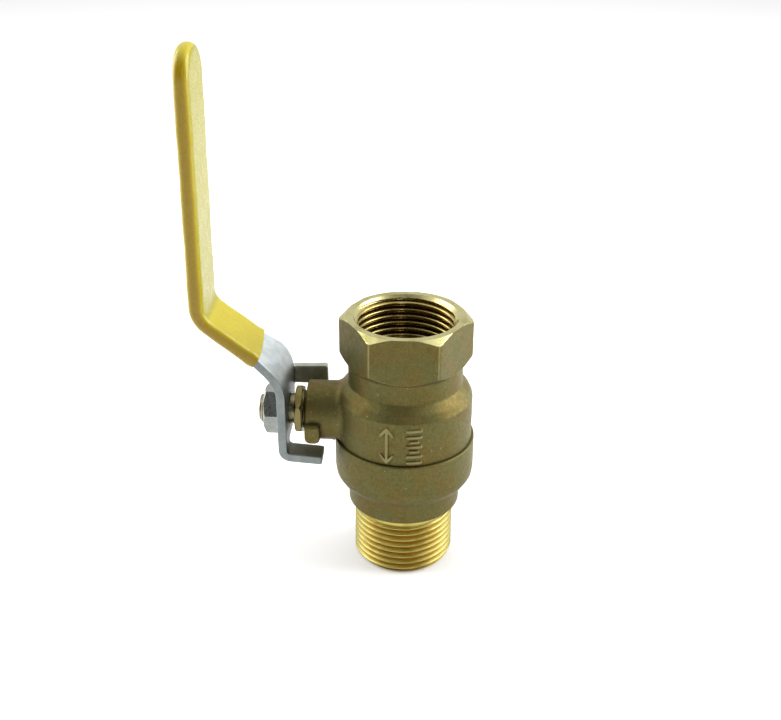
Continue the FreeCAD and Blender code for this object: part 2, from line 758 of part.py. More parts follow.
def make_parts():
    lever = make_lever()
    parts = [
        make_valve_body(),
        make_end_connector(),
        make_ring("body_joint_seal", "nose_radius + joint_seal_gap",
                  "trench_radius - joint_seal_gap", "trench_floor", "skirt_bottom"),
        make_ball(),
        make_seat("seat_upper", "+"),
        make_seat("seat_lower", "-"),
        make_stem(),
        make_ring("stem_thrust_washer", "stem_bore_radius", "collar_radius",
                  "collar_outer", "ledge_station", about_stem=True),
        make_o_ring(),
        make_gland_nut(),
        lever,
        make_grip_sleeve(lever),
        make_lever_nut(),
    ]
    for index, label in enumerate(("stem_packing_inner", "stem_packing_outer")):
        start = f"chamber_station + {index} * packing_length"
        end = f"chamber_station + {index + 1} * packing_length"
        parts.append(make_ring(label, "packing_inner", "packing_outer", start, end,
                               about_stem=True))
    return parts


def check_document():
    """Stop if any object of the document failed."""
    for item in doc.Objects:
        if {"Invalid", "Error"} & set(item.State):
            raise RuntimeError(f"{item.Label} failed: {item.State}")


def write_parts(parts):
    os.makedirs("parts", exist_ok=True)
    for part in parts:
        shape = part.Shape
        if shape.isNull() or not shape.isValid() or not shape.Solids:
            raise RuntimeError(f"{part.Label} has no valid solid")
        print(f"{part.Label}: {len(shape.Solids)} solid, {shape.Volume:.1f} mm3")
        shape.exportStep(f"parts/{part.Label}.step")


all_parts = make_parts()
doc.recompute()
check_document()
write_parts(all_parts)
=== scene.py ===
import bmesh
import bpy
import math
import numpy as np
from collections import Counter
from mathutils import Matrix, Vector
from mathutils.geometry import delaunay_2d_cdt


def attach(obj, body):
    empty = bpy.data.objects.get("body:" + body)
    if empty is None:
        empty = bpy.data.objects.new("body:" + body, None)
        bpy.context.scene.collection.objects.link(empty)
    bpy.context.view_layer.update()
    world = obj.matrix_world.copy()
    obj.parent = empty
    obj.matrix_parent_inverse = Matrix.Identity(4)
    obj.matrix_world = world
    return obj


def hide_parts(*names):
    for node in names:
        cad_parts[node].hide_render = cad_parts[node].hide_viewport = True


# Ball valve with a forged brass body, male end connector, bent zinc-plated lever and dipped grip.
# Lengths in this script are millimetres in the part's own frame until a mesh is built: the origin
# is the centre of the male end face, +Z runs up the flow axis and the stem points along -X.

MM = 0.001
TURN = 2 * math.pi

AXIS = 42.3
PITCH = 1.814
MALE_CREST = 13.22
FEMALE_CREST = 12.06
THREAD_DEPTH = 1.16
PORT_RADIUS = 9.25
NEEDLE_AREA = 1e-4

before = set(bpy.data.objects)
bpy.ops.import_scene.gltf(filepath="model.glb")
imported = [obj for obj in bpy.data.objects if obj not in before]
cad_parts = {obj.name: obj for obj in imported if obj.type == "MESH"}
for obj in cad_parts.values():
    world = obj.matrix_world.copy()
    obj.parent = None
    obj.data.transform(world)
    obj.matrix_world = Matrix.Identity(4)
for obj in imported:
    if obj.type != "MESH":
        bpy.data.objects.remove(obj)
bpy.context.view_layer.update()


# ---------------------------------------------------------------- mesh building

def add_object(name, data):
    item = bpy.data.objects.new(name, data)
    bpy.context.scene.collection.objects.link(item)
    return item


def new_object(name, points, faces):
    """Closed mesh from points in millimetres: doubled points are merged, normals face out."""
    mesh = bpy.data.meshes.new(name)
    mesh.from_pydata((np.asarray(points, float) * MM).tolist(), [], faces)
    work = bmesh.new()
    work.from_mesh(mesh)
    bmesh.ops.remove_doubles(work, verts=work.verts, dist=2e-7)
    bmesh.ops.recalc_face_normals(work, faces=work.faces)
    work.to_mesh(mesh)
    work.free()
    return add_object(name, mesh)


def grid_faces(rows, columns, first=0, shift=0):
    """Quads of a grid that closes round its columns. A helix closes onto rows further along."""
    faces = []
    for row in range(rows - 1):
        start = first + row * columns
        last = start + columns - 1
        for corner in range(start, last):
            faces.append((corner, corner + 1, corner + columns + 1, corner + columns))
        if row < rows - 1 - shift:
            landing = start + shift * columns
            faces.append((last, landing, landing + columns, last + columns))
    return faces


def about_flow(radius, height, angles):
    """Points from radius and height grids about the flow axis."""
    radius, height, angles = np.broadcast_arrays(radius, height, angles)
    return np.stack([radius * np.cos(angles), radius * np.sin(angles), height], -1)


def about_stem(radius, station, angles):
    """Points from radius and station grids about the stem axis, angles counted from +Y."""
    radius, station, angles = np.broadcast_arrays(radius, station, angles)
    return np.stack([-station, radius * np.cos(angles), AXIS + radius * np.sin(angles)], -1)


def lathe_grids(grids, place, angles):
    """Points and faces of grids of (radii, stations, shift) that follow one another."""
    points, faces, first = [], [], 0
    for radius, station, shift in grids:
        spots = place(radius, station, angles[None, :])
        rows, columns = spots.shape[:2]
        points.append(spots.reshape(-1, 3))
        faces += grid_faces(rows, columns, first, shift)
        first += rows * columns
    return np.concatenate(points), faces


def lathe(name, grids, place, angles):
    """Object from grids that run once round a closed section."""
    return new_object(name, *lathe_grids(grids, place, angles))


def within(spots, loops):
    """Even-odd test of flat points against closed loops."""
    x, y = spots[..., 0], spots[..., 1]
    result = np.zeros(x.shape, bool)
    for loop in loops:
        for (x0, y0), (x1, y1) in zip(loop, np.roll(loop, -1, 0)):
            if y0 != y1:
                result ^= ((y0 > y) != (y1 > y)) & (x < (x1 - x0) * (y - y0) / (y1 - y0) + x0)
    return result


def face_edges(face):
    """Edges of a face, each as an unordered pair of corners."""
    return [frozenset(pair) for pair in zip(face, face[1:] + face[:1])]


def ring_edges(first, count):
    """Edges of a closed ring of points that follow one another."""
    return [(first + index, first + (index + 1) % count) for index in range(count)]


def triangulate(spots, edges):
    """Flat points as they were triangulated, triangles that keep the edges, and their centres."""
    spots = [Vector(spot) for spot in spots]
    triangles = delaunay_2d_cdt(spots, edges, [], 0, 1e-7)[2]
    spots = np.array([spot[:] for spot in spots])
    return spots, triangles, spots[np.array(triangles)].mean(1)


def pick_triangles(spots, triangles, wanted, fixed_edges):
    """The wanted triangles. A needle takes the choice of a neighbour across a free edge.

    A needle with no such neighbour lies outside the outermost edge and is left out.
    """
    corners = spots[np.array(triangles)]
    first_side, second_side = corners[:, 1] - corners[:, 0], corners[:, 2] - corners[:, 0]
    area = first_side[:, 0] * second_side[:, 1] - first_side[:, 1] * second_side[:, 0]
    wanted = np.array(wanted)
    fixed = {frozenset(edge) for edge in fixed_edges}
    beside = {}
    for index, face in enumerate(triangles):
        for edge in face_edges(face):
            beside.setdefault(edge, []).append(index)
    waiting = set(np.flatnonzero(np.abs(area) < NEEDLE_AREA).tolist())
    for _ in range(6):
        for index in sorted(waiting):
            for edge in face_edges(triangles[index]):
                others = [other for other in beside[edge]
                          if other != index and other not in waiting]
                if others and edge not in fixed:
                    wanted[index] = wanted[others[0]]
                    waiting.discard(index)
                    break
    wanted[sorted(waiting)] = False
    return [face for face, keep in zip(triangles, wanted) if keep]


def soften(corners, step=None):
    """Path with its corners rounded. Corners are (a, b) or (a, b, radius)."""
    path = []
    count = len(corners)
    spots = [np.array(corner[:2], float) for corner in corners]
    for index, corner in enumerate(corners):
        radius = corner[2] if len(corner) > 2 else 0
        if index in (0, count - 1) or not radius:
            path.append(spots[index])
            continue
        before = spots[index - 1] - spots[index]
        after = spots[index + 1] - spots[index]
        before, after = before / np.linalg.norm(before), after / np.linalg.norm(after)
        half = math.acos(np.clip(before @ after, -1, 1)) / 2
        reach = radius / math.tan(half)
        centre = spots[index] + (before + after) / np.linalg.norm(before + after) * (
            radius / math.sin(half))
        start, end = spots[index] + before * reach, spots[index] + after * reach
        sweep = math.pi - 2 * half
        steps = max(3, int(math.degrees(sweep) / 9), int(radius * sweep / 0.5))
        first, last = start - centre, end - centre
        for part in np.linspace(0, 1, steps + 1):
            arm = (math.sin((1 - part) * sweep) * first + math.sin(part * sweep) * last)
            path.append(centre + arm / math.sin(sweep))
    if step:
        fine = [path[0]]
        for spot in path[1:]:
            pieces = max(1, math.ceil(np.linalg.norm(spot - fine[-1]) / step))
            start = fine[-1]
            fine += [start + (spot - start) * part / pieces for part in range(1, pieces + 1)]
        path = fine
    return np.array(path)


def closed_loop(corners, step):
    """Closed loop of points. The first corner isn't rounded."""
    return soften(corners + corners[:1], step)[:-1]


def rows_of(path):
    """Lathe grid of a path of (radius, station)."""
    path = np.array(path, float)
    return path[:, :1], path[:, 1:], 0


def flat_rows(station, *radii):
    """Lathe grid of rings at one station. Each radius is a number or one for each angle."""
    return np.array(np.broadcast_arrays(*radii)), np.full((len(radii), 1), station), 0


def round_angles(*zones, step=1.0):
    """Angles round the axis in radians: even steps, with finer zones of (centre, half, step)."""
    degrees = list(np.arange(0, 360, step))
    for centre, half, fine in zones:
        degrees = [angle for angle in degrees if abs((angle - centre + 180) % 360 - 180) > half]
        degrees += list(centre + np.arange(-half, half + fine / 2, fine))
    degrees = np.unique(np.round(np.array(degrees) % 360, 4))
    keep = np.diff(np.append(degrees, degrees[0] + 360)) > 0.04
    return np.radians(degrees[keep])


def thread_shape(phase):
    """Rounded thread section: 0 on the crest at phase 0, 1 in the root at phase 0.5."""
    slope = 1.5 * (0.5 - np.abs(2 * (phase % 1) - 1))
    return 0.5 + slope / (1 + (np.abs(slope) / 0.5) ** 6) ** (1 / 6)


def helix(low, high, pitch, wall, angles, samples=16):
    """Rows that follow a right-hand thread between two heights. wall gives the radii."""
    rows = np.arange(-samples, math.ceil((high - low) / pitch * samples) + samples + 1)
    height = low + (rows[:, None] + samples * angles[None, :] / TURN) * pitch / samples
    height = np.clip(height - pitch, low, high)
    return wall(height, (height - low) / pitch - angles[None, :] / TURN), height, samples


def ramp(value, low, high):
    """Smooth rise from 0 to 1 between two values."""
    part = np.clip((value - low) / (high - low), 0, 1)
    return part * part * (3 - 2 * part)


def least(first, second, blend):
    """Smaller of two values, with the corner between them eased over a width."""
    part = np.clip(0.5 + 0.5 * (second - first) / blend, 0, 1)
    return second + (first - second) * part - blend * part * (1 - part)


def most(first, second, blend):
    """Larger of two values, eased in the same way."""
    return -least(-first, -second, blend)


def hexagon_radius(angles, apothem, corner, blend):
    """Radius of a hexagon with a corner at the given angle."""
    local = (angles - corner) % (TURN / 6)
    first = apothem / np.cos(local - TURN / 12)
    ahead = apothem / np.cos(np.clip(local + TURN / 12, 0, 1.3))
    behind = apothem / np.cos(np.clip(local - TURN / 4, -1.3, 0))
    return least(least(first, ahead, blend), behind, blend)


def combine(target, tool, operation):
    """Boolean of two closed meshes. The tool is removed."""
    change = target.modifiers.new(operation, "BOOLEAN")
    change.operation = operation
    change.solver = "MANIFOLD"
    change.object = tool
    mesh = bpy.data.meshes.new_from_object(
        target.evaluated_get(bpy.context.evaluated_depsgraph_get()))
    if len(mesh.polygons) in (0, len(target.data.polygons)):
        raise RuntimeError(f"{target.name}: {operation} with {tool.name} did nothing")
    target.modifiers.clear()
    target.data = mesh
    bpy.data.objects.remove(tool)


def finish_piece(item, node, body, finishes, choose=None, angle=32):
    """Materials, smooth shading with crisp edges, and the CAD node that the piece replaces.

    choose gives the number of each face's finish from the faces' centres and normals.
    """
    mesh = item.data
    mesh.materials.clear()
    for finish in finishes:
        mesh.materials.append(finish)
    mesh.shade_smooth()
    mesh.set_sharp_from_angle(angle=math.radians(angle))
    count = len(mesh.polygons)
    centres, normals = np.empty((2, count * 3))
    mesh.polygons.foreach_get("center", centres)
    mesh.polygons.foreach_get("normal", normals)
    chosen = np.zeros(count)
    if choose:
        chosen = choose(centres.reshape(-1, 3) / MM, normals.reshape(-1, 3))
    mesh.polygons.foreach_set("material_index", chosen.astype(np.int32))
    mesh.update()
    weights = item.modifiers.new("even_normals", "WEIGHTED_NORMAL")
    weights.keep_sharp = True
    weights.weight = 60
    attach(item, body)
    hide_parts(node)


# ---------------------------------------------------------------- materials

class Nodes:
    """Nodes of one tree. Values may be numbers, colours or other nodes' outputs."""

    def __init__(self, tree):
        self.tree = tree

    def node(self, kind, **inputs):
        """New node. Its named inputs take values or links."""
        item = self.tree.nodes.new(kind)
        for name, value in inputs.items():
            self.put(item.inputs[name], value)
        return item

    def put(self, socket, value):
        if isinstance(value, bpy.types.NodeSocket):
            self.tree.links.new(value, socket)
        elif isinstance(value, tuple) and len(value) == 3 and socket.type == "RGBA":
            socket.default_value = (*value, 1)
        else:
            socket.default_value = value

    def remap(self, value, low, high, to_low=0.0, to_high=1.0):
        spread = self.node("ShaderNodeMapRange")
        spread.interpolation_type = "SMOOTHSTEP"
        for socket, amount in zip(spread.inputs, (value, low, high, to_low, to_high)):
            self.put(socket, amount)
        return spread.outputs["Result"]

    def math(self, operation, *values):
        item = self.node("ShaderNodeMath")
        item.operation = operation
        for socket, value in zip(item.inputs, values):
            self.put(socket, value)
        return item.outputs[0]

    def part_of(self, coordinate, axis):
        """One component of a texture coordinate or of the surface direction."""
        apart = self.node("ShaderNodeSeparateXYZ")
        self.put(apart.inputs[0], self.node("ShaderNodeTexCoord").outputs[coordinate])
        return apart.outputs[axis]


class Finish(Nodes):
    """Surface material made step by step, with textures on the piece's own coordinates."""

    def __init__(self, name, color, metallic=0.0, roughness=0.5):
        self.material = bpy.data.materials.new(name)
        self.material.use_nodes = True
        super().__init__(self.material.node_tree)
        self.shader = self.tree.nodes["Principled BSDF"]
        self.place = self.node("ShaderNodeTexCoord").outputs["Object"]
        self.color(color)
        self.rough(roughness)
        self.put(self.shader.inputs["Metallic"], metallic)
        self.material.diffuse_color = (*color, 1)

    def noise(self, size, detail=2.0, roughness=0.5, stretch=None):
        """Noise whose features are about size millimetres."""
        place = self.place
        if stretch:
            place = self.node("ShaderNodeMapping", Vector=place, Scale=stretch).outputs[0]
        return self.node("ShaderNodeTexNoise", Vector=place, Scale=1 / (size * MM), Detail=detail,
                         Roughness=roughness).outputs["Fac"]

    def specks(self, size, near, far, spread, low, high):
        """Specks round scattered spots, only where a wider noise lets them through."""
        cells = self.node("ShaderNodeTexVoronoi", Vector=self.place, Scale=1 / (size * MM))
        spots = self.remap(cells.outputs["Distance"], near, far, 1.0, 0.0)
        return self.math("MULTIPLY", spots, self.remap(self.noise(spread, 1.0), low, high))

    def blend(self, part, first, second):
        mix = self.node("ShaderNodeMix")
        mix.data_type = "RGBA"
        self.put(mix.inputs[0], part)
        self.put(mix.inputs[6], first)
        self.put(mix.inputs[7], second)
        return mix.outputs[2]

    def distance_from_flow_axis(self):
        squares = [self.math("POWER", self.part_of("Object", axis), 2.0) for axis in (0, 1)]
        return self.math("SQRT", self.math("ADD", *squares))

    def color(self, value):
        self.put(self.shader.inputs["Base Color"], value)

    def rough(self, value):
        self.put(self.shader.inputs["Roughness"], value)

    def relief(self, value, depth):
        """Bump whose full range is depth millimetres."""
        bump = self.node("ShaderNodeBump", Strength=1.0, Distance=depth * MM, Height=value)
        previous = self.shader.inputs["Normal"]
        if previous.is_linked:
            self.put(bump.inputs["Normal"], previous.links[0].from_socket)
        self.put(previous, bump.outputs["Normal"])


def shaded(color, amount):
    """Colour with its channels multiplied by one number, or by a number each."""
    return tuple(np.multiply(color, amount).tolist())


def forged_skin():
    """Sandblasted brass: dull olive with fine grain, warm patches and a few bright specks."""
    finish = Finish("forged_skin", (0.11, 0.092, 0.033), metallic=0.9, roughness=0.55)
    patches = finish.remap(finish.noise(6.0, 3.0), 0.40, 0.62)
    warm = finish.blend(patches, (0.140, 0.130, 0.043), (0.168, 0.116, 0.031))
    grain = finish.remap(finish.noise(0.5, 3.0, 0.65), 0.28, 0.75)
    toned = finish.blend(grain, (0.102, 0.090, 0.029), warm)
    specks = finish.specks(1.9, 0.08, 0.15, 2.6, 0.56, 0.62)
    finish.color(finish.blend(specks, toned, (0.24, 0.22, 0.095)))
    finish.rough(finish.remap(finish.noise(1.1, 2.0), 0.2, 0.8, 0.46, 0.62))
    finish.relief(finish.noise(0.32, 2.0, 0.6), 0.05)
    finish.relief(finish.noise(1.6, 2.0), 0.05)
    return finish.material


def machined_brass(name, color, roughness, lines=0.006, root=None, sides=None):
    """Turned brass with fine tool lines and slight tarnish.

    root is (colour, radius there, radius at the crest): painted shade and interreflected colour
    deep in a thread's root.
    sides is a darker colour painted on the stem's side and the side opposite: painted shade that
    tones down the side lamps' highlights.
    """
    finish = Finish(name, color, metallic=1.0, roughness=roughness)
    tarnish = finish.remap(finish.noise(5.0, 3.0), 0.4, 0.75)
    toned = finish.blend(tarnish, color, shaded(color, (0.72, 0.66, 0.52)))
    # Painted shade: surfaces deep in the thread's root blend to a darker, warmer colour.
    if root:
        root_shade_color, deep, crest = root
        inner, outer = sorted((deep, crest))
        ends = (0.0, 1.0) if deep < crest else (1.0, 0.0)
        out_of_root_shade = finish.remap(finish.distance_from_flow_axis(), inner * MM, outer * MM, *ends)
        toned = finish.blend(out_of_root_shade, root_shade_color, toned)
    # Painted shade: the thread darkens towards the stem's side and the side opposite.
    if sides:
        across = finish.math("ABSOLUTE", finish.part_of("Object", 0))
        toned = finish.blend(finish.remap(across, 7.0 * MM, 12.5 * MM, 0.0, 0.85), toned, sides)
    finish.color(toned)
    marks = finish.noise(0.35, 2.0, 0.6, stretch=(0.2, 0.2, 6.0))
    finish.rough(finish.remap(marks, 0.25, 0.75, roughness * 0.8, roughness * 1.25))
    finish.relief(marks, lines)
    return finish.material


def chrome_plate():
    finish = Finish("chrome_plate", (0.78, 0.79, 0.80), metallic=1.0, roughness=0.07)
    finish.rough(finish.remap(finish.noise(3.0, 3.0), 0.3, 0.7, 0.05, 0.13))
    return finish.material


def zinc_plate(name, color, roughness, metallic, inner=None):
    """Zinc-plated steel: pale, faintly mottled, with small dark and light specks.

    inner is the darker colour painted on the side towards the valve, below the bend: painted shade
    and reflection of the dark body.
    """
    finish = Finish(name, color, metallic=metallic, roughness=roughness)
    mottle = finish.remap(finish.noise(3.2, 3.0), 0.35, 0.7)
    toned = finish.blend(mottle, shaded(color, 0.86), shaded(color, 1.1))
    # Painted shade and reflection: the side towards the valve darkens below the bend.
    if inner:
        facing = finish.remap(finish.part_of("Normal", 0), 0.1, 0.6)
        below = finish.remap(finish.part_of("Object", 2), 48.0 * MM, 60.0 * MM, 1.0, 0.0)
        toned = finish.blend(finish.math("MULTIPLY", facing, below), toned, inner)
    specks = finish.specks(1.3, 0.05, 0.13, 2.2, 0.54, 0.62)
    finish.color(finish.blend(specks, toned, shaded(color, 0.42)))
    finish.rough(finish.remap(finish.noise(0.6, 2.0), 0.25, 0.75, roughness * 0.85,
                              roughness * 1.2))
    finish.relief(finish.noise(0.5, 2.0), 0.004)
    return finish.material


def dipped_vinyl():
    """Glossy yellow vinyl with an uneven skin, and painted shade on its faces towards the valve and
    towards -Y.
    """
    finish = Finish("dipped_vinyl", (0.43, 0.355, 0.004), roughness=0.35)
    depth = finish.remap(finish.noise(9.0, 2.0), 0.3, 0.7)
    toned = finish.blend(depth, (0.415, 0.34, 0.0035), (0.445, 0.37, 0.005))
    # Painted shade: faces towards the valve (+X) take a darker colour.
    inner = finish.remap(finish.part_of("Normal", 0), 0.72, 0.95)
    toned = finish.blend(inner, toned, (0.26, 0.235, 0.003))
    # Painted shade: faces towards -Y take a darker orange-brown.
    edge = finish.remap(finish.part_of("Normal", 1), -0.95, -0.45, 1.0, 0.0)
    finish.color(finish.blend(edge, toned, (0.29, 0.19, 0.002)))
    finish.rough(finish.remap(finish.noise(2.0, 2.0), 0.3, 0.7, 0.24, 0.34))
    finish.shader.inputs["Specular IOR Level"].default_value = 0.35
    finish.shader.inputs["Coat Weight"].default_value = 0.08
    finish.shader.inputs["Coat Roughness"].default_value = 0.15
    finish.relief(finish.noise(2.4, 2.0), 0.02)
    finish.relief(finish.noise(0.5, 1.0), 0.003)
    return finish.material


def plain_plastic(name, color, roughness):
    finish = Finish(name, color, roughness=roughness)
    mottle = finish.remap(finish.noise(2.5, 2.0), 0.35, 0.7)
    finish.color(finish.blend(mottle, color, shaded(color, 0.9)))
    finish.rough(finish.remap(finish.noise(0.8, 2.0), 0.3, 0.7, roughness * 0.9, roughness * 1.1))
    finish.relief(finish.noise(0.6, 2.0), 0.008)
    return finish.material


SKIN = forged_skin()
# Lighter brass for wear on edges and marks, partly a painted highlight.
WORN_AND_HIGHLIT_SKIN = machined_brass("worn_and_highlit_skin", (0.21, 0.19, 0.085), 0.45)
BRASS = machined_brass("machined_brass", (0.52, 0.48, 0.22), 0.24)
# Bored and threaded brass carry painted shade in their thread roots.
BORE = machined_brass("bored_brass", (0.40, 0.33, 0.12), 0.24, lines=0.002,
                      root=((0.24, 0.13, 0.03), FEMALE_CREST + 1.0, FEMALE_CREST + 0.1))
# The thread's sides carry painted shade against the side lamps.
THREAD = machined_brass("threaded_brass", (0.49, 0.42, 0.12), 0.45, lines=0.002,
                        root=((0.40, 0.24, 0.045), MALE_CREST - 1.1, MALE_CREST - 0.2),
                        sides=(0.26, 0.225, 0.075))
STEM_BRASS = machined_brass("stem_brass", (0.27, 0.255, 0.165), 0.3)
GLAND_BRASS = machined_brass("gland_brass", (0.19, 0.16, 0.065), 0.34)
CHROME = chrome_plate()
# The strip's side towards the valve carries painted shade below the bend.
ZINC = zinc_plate("zinc_strip", (0.53, 0.575, 0.58), 0.46, 0.8, inner=(0.14, 0.15, 0.13))
EDGE_ZINC = zinc_plate("zinc_edge", (0.235, 0.265, 0.26), 0.5, 0.4)
# Darker zinc painted on the stop tab and inside the foot as painted shade.
SHADED_ZINC = zinc_plate("zinc_stop_painted_shade", (0.38, 0.39, 0.32), 0.5, 0.85)
NUT_ZINC = zinc_plate("zinc_nut", (0.32, 0.335, 0.315), 0.3, 0.95)
VINYL = dipped_vinyl()
PTFE = plain_plastic("ptfe", (0.80, 0.80, 0.77), 0.45)
NITRILE = plain_plastic("nitrile", (0.02, 0.02, 0.02), 0.55)


# ---------------------------------------------------------------- valve body

BLANK_BOTTOM = 28.5
BARREL = 17.5
BODY_OUTLINE = soften([(BARREL, BLANK_BOTTOM), (BARREL, 48.3, 0.25), (16.6, 50.2, 1.5),
                       (14.75, 52.1, 0.35), (14.6, 57.9)], step=0.05)
HEX_APOTHEM = 15.0
HEX_CORNER = 17.0
HEX_CONE = (14.5, 57.3, 1.1)
HEX_JOINS = 56.6
BODY_TOP = 70.0
CROWN_RADIUS = 15.2
CROWN_DROP = 1.3
LEAD_IN = 1.3
LEAD_RADIUS = FEMALE_CREST + LEAD_IN
THREAD_END = 56.5
CHAMBER = 14.6
SEAT_POCKET = 13.2
SKIRT_RADIUS = 16.05
JOINT_HEIGHT = 36.4
BOSS_RADIUS = 7.8
BOSS_FILLET = 2.6
BOSS_END = 25.3
BOSS_ROUND = 0.4
LUG_END = 25.4
LUG_ROOT = 21.4
MARK_HEIGHT = 0.4
MARK_WIDTH = 0.78

WAVES = np.random.default_rng(7)
WAVE_SET = [(WAVES.integers(3, 17), WAVES.uniform(-1.1, 1.1), WAVES.uniform(0, TURN))
            for _ in range(22)]


def forging_waves(angles, height):
    """Slight unevenness of the forged skin, in millimetres."""
    total = 0.0
    for turns, pace, start in WAVE_SET:
        total = total + np.sin(turns * angles + pace * height + start)
    across = BARREL * (angles % TURN - math.pi)
    clear = ramp(np.hypot(across, height - AXIS), 10.5, 15.0)
    return 0.009 * total * clear


def stroke(across, up, start, end):
    """Bar between two points: 1 on its face, sloping to 0 at its sides."""
    (x0, y0), (x1, y1) = start, end
    length = math.hypot(x1 - x0, y1 - y0)
    part = np.clip(((across - x0) * (x1 - x0) + (up - y0) * (y1 - y0)) / length ** 2, 0, 1)
    gap = np.hypot(across - x0 - part * (x1 - x0), up - y0 - part * (y1 - y0))
    return 1 - ramp(gap, MARK_WIDTH / 2 - 0.12, MARK_WIDTH / 2 + 0.12)


def raised_marks(angles, height):
    """Plain raised marks on the front of the barrel: a flow arrow, and a column of bars."""
    across = BARREL * ((angles + 1.5 * math.pi) % TURN - math.pi)
    strokes = [((-3.9, 37.4), (-3.9, 46.8)), ((-3.9, 46.8), (-5.4, 44.9)),
               ((-3.9, 46.8), (-2.4, 44.9)), ((-3.9, 37.4), (-5.4, 39.3)),
               ((-3.9, 37.4), (-2.4, 39.3))]
    strokes += [((1.2, level), (4.6, level)) for level in (37.6, 39.4, 42.1, 44.8, 46.6)]
    strokes += [((2.0, level), (3.8, level)) for level in (40.75, 43.45)]
    tall = 0.0
    for start, end in strokes:
        tall = np.maximum(tall, MARK_HEIGHT * stroke(across, height, start, end))
    return tall


def cone_under_hexagon(height):
    """Radius of the cone that trims the hexagon from below."""
    radius, level, slope = HEX_CONE
    return radius + (height - level) * slope


def crown_of_hexagon(height):
    """Radius of the chamfer that trims the hexagon from above."""
    return CROWN_RADIUS + (BODY_TOP - height) * (HEX_CORNER - CROWN_RADIUS) / CROWN_DROP


def body_wall(angles, height):
    """Outer radius of the forging before the boss is added."""
    flank = np.interp(height, BODY_OUTLINE[:, 1], BODY_OUTLINE[:, 0])
    prism = least(hexagon_radius(angles, HEX_APOTHEM, 0.0, 0.22), HEX_CORNER, 0.3)
    hexagon = least(prism, cone_under_hexagon(height), 0.12)
    hexagon = least(hexagon, crown_of_hexagon(height), 0.06)
    radius = np.where(height < HEX_JOINS, flank, most(flank, hexagon, 0.16))
    skin = 1 - ramp(height, BODY_TOP - CROWN_DROP - 1.2, BODY_TOP - CROWN_DROP)
    return radius + forging_waves(angles, height) * skin + raised_marks(angles, height)


def female_wall(height, phase):
    """Radius of the female thread, opened by its lead-in and fading out above the port."""
    depth = THREAD_DEPTH * ramp(height, 56.9, 58.9)
    radius = FEMALE_CREST + depth * thread_shape(phase)
    return np.maximum(radius, LEAD_RADIUS + height - BODY_TOP)


def boss_patch(count=176):
    """Rows of the boss from its blend on the forging out to its end face.

    The blend is an arc at each turn. Halving finds the station of the arc's centre.
    """
    turns = np.arange(count) * TURN / count
    across = (BOSS_RADIUS + BOSS_FILLET) * np.cos(turns)
    level = AXIS + (BOSS_RADIUS + BOSS_FILLET) * np.sin(turns)

    def gap(x):
        """Signed distance from the forging's outline, its nearest point, and the radius here."""
        radius = np.hypot(x, across)
        offset = np.stack([radius, level], 1)[:, None, :] - BODY_OUTLINE[None]
        distance = np.linalg.norm(offset, axis=2)
        nearest = distance.argmin(1)
        outside = radius > np.interp(level, BODY_OUTLINE[:, 1], BODY_OUTLINE[:, 0])
        return np.where(outside, 1, -1) * distance.min(1), nearest, radius

    low, high = np.full(count, -32.0), np.full(count, -8.0)
    for _ in range(34):
        middle = (low + high) / 2
        outside = gap(middle)[0] > BOSS_FILLET
        low, high = np.where(outside, middle, low), np.where(outside, high, middle)
    _, nearest, radius = gap(low)
    centre = np.stack([low, across, level], 1)
    foot_radius, foot_height = BODY_OUTLINE[nearest].T
    foot = np.stack([low * foot_radius / radius, across * foot_radius / radius, foot_height], 1)
    first = foot - centre
    last = np.stack([np.zeros(count), -BOSS_FILLET * np.cos(turns),
                     -BOSS_FILLET * np.sin(turns)], 1)
    sweep = np.arccos(np.clip((first * last).sum(1) / BOSS_FILLET ** 2, -1, 1))[:, None]
    rows = [centre + (np.sin((1 - part) * sweep) * first + np.sin(part * sweep) * last)
            / np.sin(sweep) for part in np.linspace(0, 1, 12)]
    for part in np.linspace(0, 1, 9)[1:]:
        station = -low + (BOSS_END - BOSS_ROUND + low) * part
        rows.append(about_stem(BOSS_RADIUS, station, turns))
    for part in np.linspace(0, math.pi / 2, 8)[1:]:
        radius = BOSS_RADIUS - BOSS_ROUND * (1 - math.cos(part))
        station = BOSS_END - BOSS_ROUND * (1 - math.sin(part))
        rows.append(about_stem(radius, station, turns))
    rows += [about_stem(radius, BOSS_END, turns) for radius in (5.0, 2.0, 0.0)]
    return np.array(rows)


